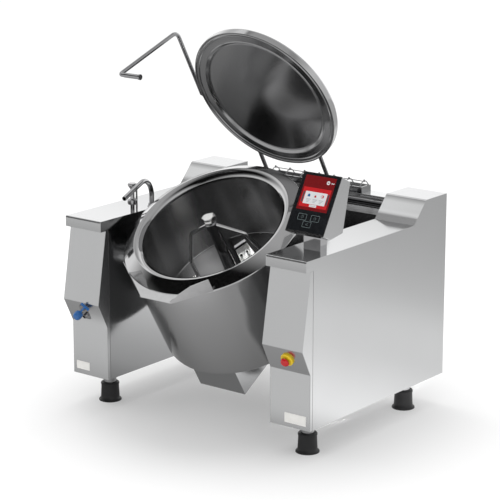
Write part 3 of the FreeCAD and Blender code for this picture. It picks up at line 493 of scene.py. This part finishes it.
def glass_patch(u0, v0, u1, v1, lift, corner=0.0015):
    """A filled rectangle on the glass."""
    shape = plate((u1 - u0) * glass_width, (v1 - v0) * glass_height, corner=corner)
    return moved(shape, on_glass(u0, v0, lift))


def glass_disc(u, v, radius, lift):
    """A filled circle on the glass."""
    shape = bmesh.new()
    bmesh.ops.create_cone(shape, cap_ends=True, segments=32, radius1=radius, radius2=radius,
                          depth=film)
    return moved(shape, on_glass(u, v, lift + film / 2))


def glass_ring(u, v, radius, line, lift):
    """A circle line on the glass."""
    outline = [(radius - line, 0), (radius, 0), (radius, film), (radius - line, film)]
    return moved(spun(outline, steps=40), on_glass(u, v, lift))


def glass_frame(u0, v0, u1, v1, line, lift):
    """A thin rounded outline on the glass."""
    corner = 0.004
    shape = bmesh.new()
    width = (u1 - u0) * glass_width
    height = (v1 - v0) * glass_height
    bmesh.ops.create_grid(shape, x_segments=1, y_segments=1, size=0.5)
    bmesh.ops.scale(shape, vec=(width, height, 1), verts=shape.verts)
    bmesh.ops.bevel(shape, geom=shape.verts[:], offset=corner, offset_type="OFFSET", segments=4,
                    profile=0.5, affect="VERTICES", material=-1)
    inner = bmesh.ops.inset_region(shape, faces=shape.faces[:], thickness=line,
                                   use_boundary=True, use_even_offset=True)
    core = [f for f in shape.faces if f not in inner["faces"]]
    bmesh.ops.delete(shape, geom=core, context="FACES")
    top = bmesh.ops.extrude_face_region(shape, geom=shape.faces[:])
    raised = [v for v in top["geom"] if isinstance(v, bmesh.types.BMVert)]
    bmesh.ops.translate(shape, vec=(0, 0, film), verts=raised)
    return moved(shape, on_glass(u0, v0, lift) @ Matrix.Translation((width / 2, height / 2, 0)))


def glass_stroke(u0, v0, u1, v1, line, lift):
    """A short straight line on the glass."""
    start = Vector((u0 * glass_width, v0 * glass_height, 0))
    run = Vector((u1 * glass_width, v1 * glass_height, 0)) - start
    shape = plate(run.length, line)
    turn = Matrix.Rotation(math.atan2(run.y, run.x), 4, "Z")
    return moved(shape, glass_place @ Matrix.Translation(start + Vector((0, 0, lift))) @ turn
                 @ Matrix.Translation((0, -line / 2, 0)))


def make_screen():
    """A generic lit picture in the upper part of the glass, and touch keys below it."""
    base = 0.0001
    step = 0.00025
    second = base + step
    third = base + 2 * step
    top = base + 3 * step
    key_outline = 0.0014

    def put(name, material, *shapes):
        finish_piece(name, joined(*shapes), material, "frame")

    put("screen_field", screen_red, glass_patch(0.08, 0.368, 0.905, 0.966, base))
    put("screen_band", screen_bright_red, glass_patch(0.12, 0.42, 0.865, 0.76, second))
    put("screen_tabs", screen_grey, glass_patch(0.145, 0.495, 0.185, 0.68, third),
        glass_patch(0.81, 0.495, 0.85, 0.68, third))
    put("screen_tile", screen_white, glass_patch(0.205, 0.475, 0.79, 0.69, third),
        glass_patch(0.40, 0.428, 0.59, 0.47, third, 0.001))
    put("screen_status", screen_white, glass_disc(0.717, 0.875, 0.0085, second),
        glass_disc(0.815, 0.872, 0.003, second),
        glass_disc(0.86, 0.872, 0.003, second))
    put("screen_status_mark", screen_red,
        glass_patch(0.695, 0.868, 0.74, 0.882, third, 0.0004))
    put("icon_drop", screen_blue, glass_disc(0.315, 0.625, 0.006, top),
        glass_patch(0.28, 0.600, 0.35, 0.613, top, 0.0005))
    put("icon_flame", screen_bright_red, glass_disc(0.49, 0.618, 0.0045, top),
        glass_patch(0.462, 0.598, 0.518, 0.606, top, 0.0005))
    put("icon_dial", screen_bright_red, glass_ring(0.675, 0.63, 0.0075, 0.0014, top),
        glass_patch(0.675, 0.616, 0.705, 0.645, top, 0.001))
    lines = []
    for u in (0.27, 0.44, 0.61):
        lines.append(glass_patch(u, 0.553, u + 0.12, 0.562, top, 0.0002))
        lines.append(glass_patch(u + 0.01, 0.530, u + 0.10, 0.538, top, 0.0002))
        lines.append(glass_patch(u + 0.02, 0.507, u + 0.08, 0.514, top, 0.0002))
    lines.append(glass_patch(0.43, 0.445, 0.56, 0.452, top, 0.0002))
    put("tile_lines", screen_text, *lines)
    keys = [glass_frame(0.20, 0.190, 0.43, 0.300, key_outline, base),
            glass_frame(0.545, 0.190, 0.775, 0.300, key_outline, base),
            glass_frame(0.375, 0.075, 0.60, 0.180, key_outline, base),
            glass_ring(0.315, 0.245, 0.0065, 0.0009, base),
            glass_stroke(0.315, 0.245, 0.315, 0.285, 0.001, base),
            glass_ring(0.66, 0.245, 0.0055, 0.0009, base),
            glass_stroke(0.64, 0.262, 0.68, 0.262, 0.0009, base),
            glass_stroke(0.455, 0.125, 0.525, 0.150, 0.0010, base),
            glass_stroke(0.455, 0.125, 0.525, 0.110, 0.0010, base)]
    put("touch_keys", key_line, *keys)


# Bare plates on the front panels

def make_plates():
    """Two blank plates with rivets at their corners, low on the front panels."""
    front = fascia_y + 0.032
    thick = 0.0012
    corner = 0.002
    rivet_radius = 0.0018
    inset = 0.005
    for name, left, right, low, high in (("left_bare_plate", -0.660, -0.581, 0.170, 0.208),
                                         ("right_bare_plate", 0.546, 0.659, 0.166, 0.210)):
        width = right - left
        height = high - low
        parts = [plate(width, height, thick, corner)]
        for x in (inset, width - inset):
            for y in (inset, height - inset):
                rivet = bmesh.new()
                bmesh.ops.create_uvsphere(rivet, u_segments=16, v_segments=8,
                                          radius=rivet_radius)
                bmesh.ops.scale(rivet, vec=(1, 1, 0.5), verts=rivet.verts)
                parts.append(moved(rivet, Matrix.Translation((x, y, thick))))
        place = Matrix.Translation((left, front, low)) @ Matrix.Rotation(quarter_turn, 4, "X")
        finish_piece(name, moved(joined(*parts), place), plate_face, "frame")


# Pan and lid, spun at full smoothness from outlines of (radius, height above the rim)

def make_pan():
    vessel = spun([(0.016, -0.362), (0.345, -0.362), (0.345, -0.0263), (0.349, -0.0263),
                   (0.349, -0.374), (0.016, -0.374)], [(1, 0.008)])
    finish_piece("vessel", moved(vessel, pan_place), vessel_steel, "pan",
                 stands_for=("pan_vessel",))
    collar = spun([(0.418, -0.022), (0.421, -0.022), (0.421, -0.014), (0.3655, 0.0187),
                   (0.3627, 0.0202), (0.3595, 0.0190), (0.3480, 0.0160), (0.3360, 0.0070),
                   (0.3305, 0.0010), (0.3450, -0.026), (0.3475, -0.0245), (0.3335, -0.0012),
                   (0.3626, 0.0160), (0.418, -0.0165)],
                  [(2, 0.003), (4, 0.0012), (6, 0.008), (7, 0.005)], 224)
    bead = spun([(0.3331 + 0.0045 * math.cos(turn), -0.003 + 0.0045 * math.sin(turn))
                 for turn in [math.tau * step / 16 for step in range(16)]], (), 224)
    finish_piece("collar", moved(joined(collar, bead), pan_place), collar_steel, "pan",
                 stands_for=("pan_collar",))
    jacket = spun([(0.409, -0.013), (0.412, -0.013), (0.412, -0.506), (0.409, -0.506)])
    finish_piece("jacket", moved(jacket, pan_place), jacket_steel, "pan",
                 stands_for=("pan_jacket",))
    base = spun([(0.409, -0.506), (0.412, -0.506), (0.412, -0.522), (0.06, -0.522),
                 (0.06, -0.519), (0.404, -0.519), (0.409, -0.513)], [(2, 0.010)])
    finish_piece("pan_bottom", moved(base, pan_place), jacket_steel, "pan",
                 stands_for=("pan_base",))


def make_lid():
    shell = spun([(0, 0.050), (0.3556, 0.038), (0.3676, 0.026), (0.3676, 0), (0.3696, 0),
                  (0.3696, 0.040), (0, 0.052)], [(5, 0.014)], 224)
    finish_piece("lid_dome", moved(shell, lid_place), lid_rim_steel, "lid",
                 stands_for=("lid_shell",))
    liner = spun([(0, 0.014), (0.300, 0.014), (0.315, 0.0025), (0.318, 0.005), (0.3465, 0.005),
                  (0.3495, 0.0010), (0.3530, 0.0010), (0.3560, 0.0045), (0.3620, 0.0045),
                  (0.3650, 0.0010), (0.3673, 0.0010), (0.3673, 0.0030), (0.3655, 0.0030),
                  (0.3625, 0.0065), (0.3555, 0.0065), (0.3525, 0.0030), (0.351, 0.003),
                  (0.348, 0.007), (0.317, 0.007), (0.3152, 0.005), (0.301, 0.016), (0, 0.016)],
                 [(1, 0.006), (2, 0.002), (4, 0.002), (7, 0.002), (8, 0.002)], 224)
    finish_piece("lid_lining", moved(liner, lid_place), lid_steel, "lid",
                 stands_for=("lid_liner",))


# Thin dark lines of painted shade, and caps

def make_seams():
    """A dark strip of painted shade along the joint between each side panel and the front panel's
    return.
    """
    line = 0.0022
    height = 0.704
    proud = 0.00005
    for name, x, side in (("left_seam", -half_width, -1), ("left_inner_seam", -inner_x, 1),
                          ("right_inner_seam", inner_x, -1), ("right_seam", half_width, 1)):
        strip = plate(line, height)
        bmesh.ops.translate(strip, vec=(-line / 2, 0, proud - film), verts=strip.verts)
        place = (Matrix.Translation((x, fascia_y + 0.04975, cabinet_bottom))
                 @ Matrix.Rotation(side * quarter_turn, 4, "Z")
                 @ Matrix.Rotation(quarter_turn, 4, "X"))
        finish_piece(name, moved(strip, place), seam_shade, "frame")


def make_fold_shade_lines():
    """A dark strip of painted shade under the rounded front fold of each worktop, standing in for the
    fold's dark reflection.
    """
    width = 0.206
    line = 0.0028
    low = 0.8920
    sunk = 0.00015
    strips = []
    for left in (-0.677, 0.471):
        place = Matrix.Translation((left, fascia_y + sunk, low))
        strips.append(moved(plate(width, line), place @ Matrix.Rotation(quarter_turn, 4, "X")))
    finish_piece("worktop_fold_shade_lines", joined(*strips), cap_and_shade_line_black, "frame")


def make_paddle_bolts():
    """Dark caps on both ends of the two bolts through the paddle."""
    cap_radius = 0.0056
    cap_height = 0.002
    half_gap = 0.0082
    bolt_height = -0.224
    bearing = Matrix.Rotation(math.radians(65.0), 4, "Z")
    caps = []
    for out in (0.066, 0.099):
        for side in (-1, 1):
            cap = bmesh.new()
            bmesh.ops.create_cone(cap, cap_ends=True, segments=24, radius1=cap_radius,
                                  radius2=cap_radius, depth=cap_height)
            caps.append(moved(cap, Matrix.Translation((out, side * half_gap, bolt_height))
                              @ Matrix.Rotation(quarter_turn, 4, "X")))
    finish_piece("paddle_bolt_caps", moved(joined(*caps), pan_place @ bearing), cap_and_shade_line_black, "mixer")


for finish, fold, nodes in cad_looks:
    for node in nodes:
        dressed_copy(node, finish, fold)
glass = frame["nodes"]["console_glass"]
glass.data.materials.clear()
glass.data.materials.append(black_glass)

make_seams()
make_fold_shade_lines()
make_paddle_bolts()
make_pan()
make_lid()
make_screen()
make_plates()


# Floor, light and camera

def glossy_switch(tree, seen, mirrored):
    """One shader for what is seen and lit, and another for what gloss shows."""
    path = tree.nodes.new("ShaderNodeLightPath")
    switch = tree.nodes.new("ShaderNodeMixShader")
    tree.links.new(path.outputs["Is Glossy Ray"], switch.inputs["Fac"])
    tree.links.new(seen, switch.inputs[1])
    tree.links.new(mirrored, switch.inputs[2])
    return switch.outputs["Shader"]


def dimmed(tree, tone, emitter, first_depth):
    """What gloss shows loses light with each further bounce between the pieces."""
    path = tree.nodes.new("ShaderNodeLightPath")
    tree.links.new(tone, emitter.inputs["Color"])
    tree.links.new(span(tree, path.outputs["Ray Depth"], first_depth, first_depth + 2.0, 1.0, 0.4),
                   emitter.inputs["Strength"])


def tone_ramp(tree, value, stops):
    """A grey that follows a value through (position, tone) stops."""
    return colour_ramp(tree, value, [(position, [tone] * 3) for position, tone in stops])


def blended(tree, part, first, second):
    """A mix of two colours."""
    blend = tree.nodes.new("ShaderNodeMix")
    blend.data_type = "RGBA"
    tree.links.new(part, blend.inputs["Factor"])
    tree.links.new(first, blend.inputs["A"])
    tree.links.new(second, blend.inputs["B"])
    return blend.outputs["Result"]


def make_floor():
    """A pale floor that glows a little, more weakly near the machine as painted shade, and that gloss
    shows with a dark zone of painted shade in front.
    """
    shape = bmesh.new()
    bmesh.ops.create_grid(shape, x_segments=1, y_segments=1, size=30.0)
    mesh = bpy.data.meshes.new("floor")
    shape.to_mesh(mesh)
    shape.free()
    floor = bpy.data.objects.new("floor", mesh)
    bpy.context.scene.collection.objects.link(floor)
    material, tree, shader = new_material("pale_floor")
    shader.inputs["Base Color"].default_value = (0.62, 0.62, 0.62, 1)
    shader.inputs["Roughness"].default_value = 0.8
    shader.inputs["Specular IOR Level"].default_value = 0.0
    shader.inputs["Emission Color"].default_value = (1, 1, 1, 1)
    coords = tree.nodes.new("ShaderNodeTexCoord")
    distance = tree.nodes.new("ShaderNodeVectorMath")
    distance.operation = "LENGTH"
    tree.links.new(coords.outputs["Object"], distance.inputs[0])
    # Weaker glow near the machine: painted shade that deepens its shadow on the floor
    tree.links.new(span(tree, distance.outputs["Value"], 0.6, 1.5, 0.25, 0.42),
                   shader.inputs["Emission Strength"])
    split = tree.nodes.new("ShaderNodeSeparateXYZ")
    tree.links.new(coords.outputs["Object"], split.inputs["Vector"])
    depth = share(tree, split.outputs["Y"], -4.0, 4.0)
    tone = blended(tree, share(tree, split.outputs["X"], 0.45, 0.80),
                   tone_ramp(tree, depth, floor_left_tones), tone_ramp(tree, depth, floor_right_tones))
    glow = tree.nodes.new("ShaderNodeEmission")
    dimmed(tree, tone, glow, 1.0)
    output = tree.nodes["Material Output"]
    tree.links.new(glossy_switch(tree, shader.outputs["BSDF"], glow.outputs["Emission"]),
                   output.inputs["Surface"])
    mesh.materials.append(material)


def area_light(name, place, aim, width, height, power, spread=180.0):
    light = bpy.data.lights.new(name, "AREA")
    light.shape = "RECTANGLE"
    light.size = width
    light.size_y = height
    light.energy = power
    light.spread = math.radians(spread)
    lamp = bpy.data.objects.new(name, light)
    lamp.location = place
    lamp.rotation_euler = (Vector(aim) - Vector(place)).to_track_quat("-Z", "Y").to_euler()
    lamp.visible_glossy = False
    bpy.context.scene.collection.objects.link(lamp)


def make_world():
    """White all round, but what gloss shows is a studio with a dark zone high in front."""
    world = bpy.data.worlds.new("studio")
    world.use_nodes = True
    bpy.context.scene.world = world
    tree = world.node_tree
    seen = tree.nodes["Background"]
    seen.inputs["Color"].default_value = (1, 1, 1, 1)
    seen.inputs["Strength"].default_value = 1.0
    coords = tree.nodes.new("ShaderNodeTexCoord")
    split = tree.nodes.new("ShaderNodeSeparateXYZ")
    tree.links.new(coords.outputs["Generated"], split.inputs["Vector"])
    x, y, z = [split.outputs[key] for key in "XYZ"]
    high_left = tree.nodes.new("ShaderNodeMath")
    high_left.operation = "MULTIPLY"
    tree.links.new(span(tree, x, -0.53, -0.47, 1.0, 0.0), high_left.inputs[0])
    tree.links.new(span(tree, z, 0.45, 0.60, 0.0, 1.0), high_left.inputs[1])
    above = blended(tree, high_left.outputs["Value"], tone_ramp(tree, z, above_tones),
                    tone_ramp(tree, z, left_box_tones))
    rear = blended(tree, share(tree, y, 0.25, 0.55), above, tone_ramp(tree, z, back_tones))
    whole = blended(tree, share(tree, y, -0.48, -0.05), tone_ramp(tree, z, front_tones), rear)
    whole = blended(tree, share(tree, x, 0.35, 0.65), whole, tone_ramp(tree, z, right_tones))
    mirrored = tree.nodes.new("ShaderNodeBackground")
    dimmed(tree, whole, mirrored, 2.0)
    output = tree.nodes["World Output"]
    tree.links.new(glossy_switch(tree, seen.outputs["Background"],
                                 mirrored.outputs["Background"]), output.inputs["Surface"])


def make_camera():
    camera = bpy.data.cameras.new("camera")
    camera.sensor_width = 36.0
    camera.lens = 143.31
    camera.clip_end = 100.0
    view = bpy.data.objects.new("camera", camera)
    view.location = (5.3957, -6.42602 + fascia_y, 3.00485)
    view.rotation_euler = (math.radians(75.555), 0.0, math.radians(37.957))
    bpy.context.scene.collection.objects.link(view)
    bpy.context.scene.camera = view


# Tones that gloss shows: the floor from 4 m in front to 4 m behind, its dark dips just in front of the
# machine being painted shade, and the studio by height
floor_left_tones = ((0.0, 0.62), (0.11, 0.50), (0.15, 0.24), (0.20, 0.24), (0.25, 0.62),
                    (0.39, 0.62), (0.41, 0.36), (0.435, 0.29), (0.46, 0.20), (0.48, 0.20),
                    (0.525, 0.45), (0.56, 0.55), (0.69, 1.0), (1.0, 0.60))
floor_right_tones = ((0.0, 0.60), (0.36, 0.55), (0.42, 0.32), (0.47, 0.36), (0.525, 1.06),
                     (0.56, 1.0), (0.63, 0.80), (0.70, 0.80), (0.76, 0.60), (0.875, 0.50),
                     (1.0, 0.45))
front_tones = ((0.0, 0.62), (0.10, 0.62), (0.28, 0.12), (0.40, 0.002), (0.80, 0.002), (1.0, 0.40))
above_tones = ((0.0, 0.85), (0.30, 0.75), (0.50, 0.45), (0.62, 0.10), (0.80, 0.08), (0.90, 0.38),
               (1.0, 0.40))
left_box_tones = ((0.0, 0.75), (0.90, 0.75), (1.0, 0.40))
back_tones = ((0.0, 1.0), (0.26, 1.0), (0.31, 0.93), (0.39, 0.82), (0.50, 0.66), (0.63, 0.38),
              (0.72, 0.85), (0.82, 0.60), (1.0, 0.40))
right_tones = ((0.0, 0.55), (0.50, 0.62), (0.70, 0.45), (1.0, 0.38))

make_floor()
make_world()
area_light("overhead", (-0.5, 0.6, 5.0), (0, 0, 0.9), 3.0, 3.0, 60.0)
area_light("left_back", (-4.0, 1.5, 3.5), (0, 0, 0.9), 2.0, 2.0, 30.0)
area_light("into_pan", (0.1, -1.4, 2.6), (0.06, -0.12, 0.75), 0.3, 0.3, 12.0, 14.0)
make_camera()
bpy.context.scene.view_settings.view_transform = "Standard"

bpy.context.view_layer.update()
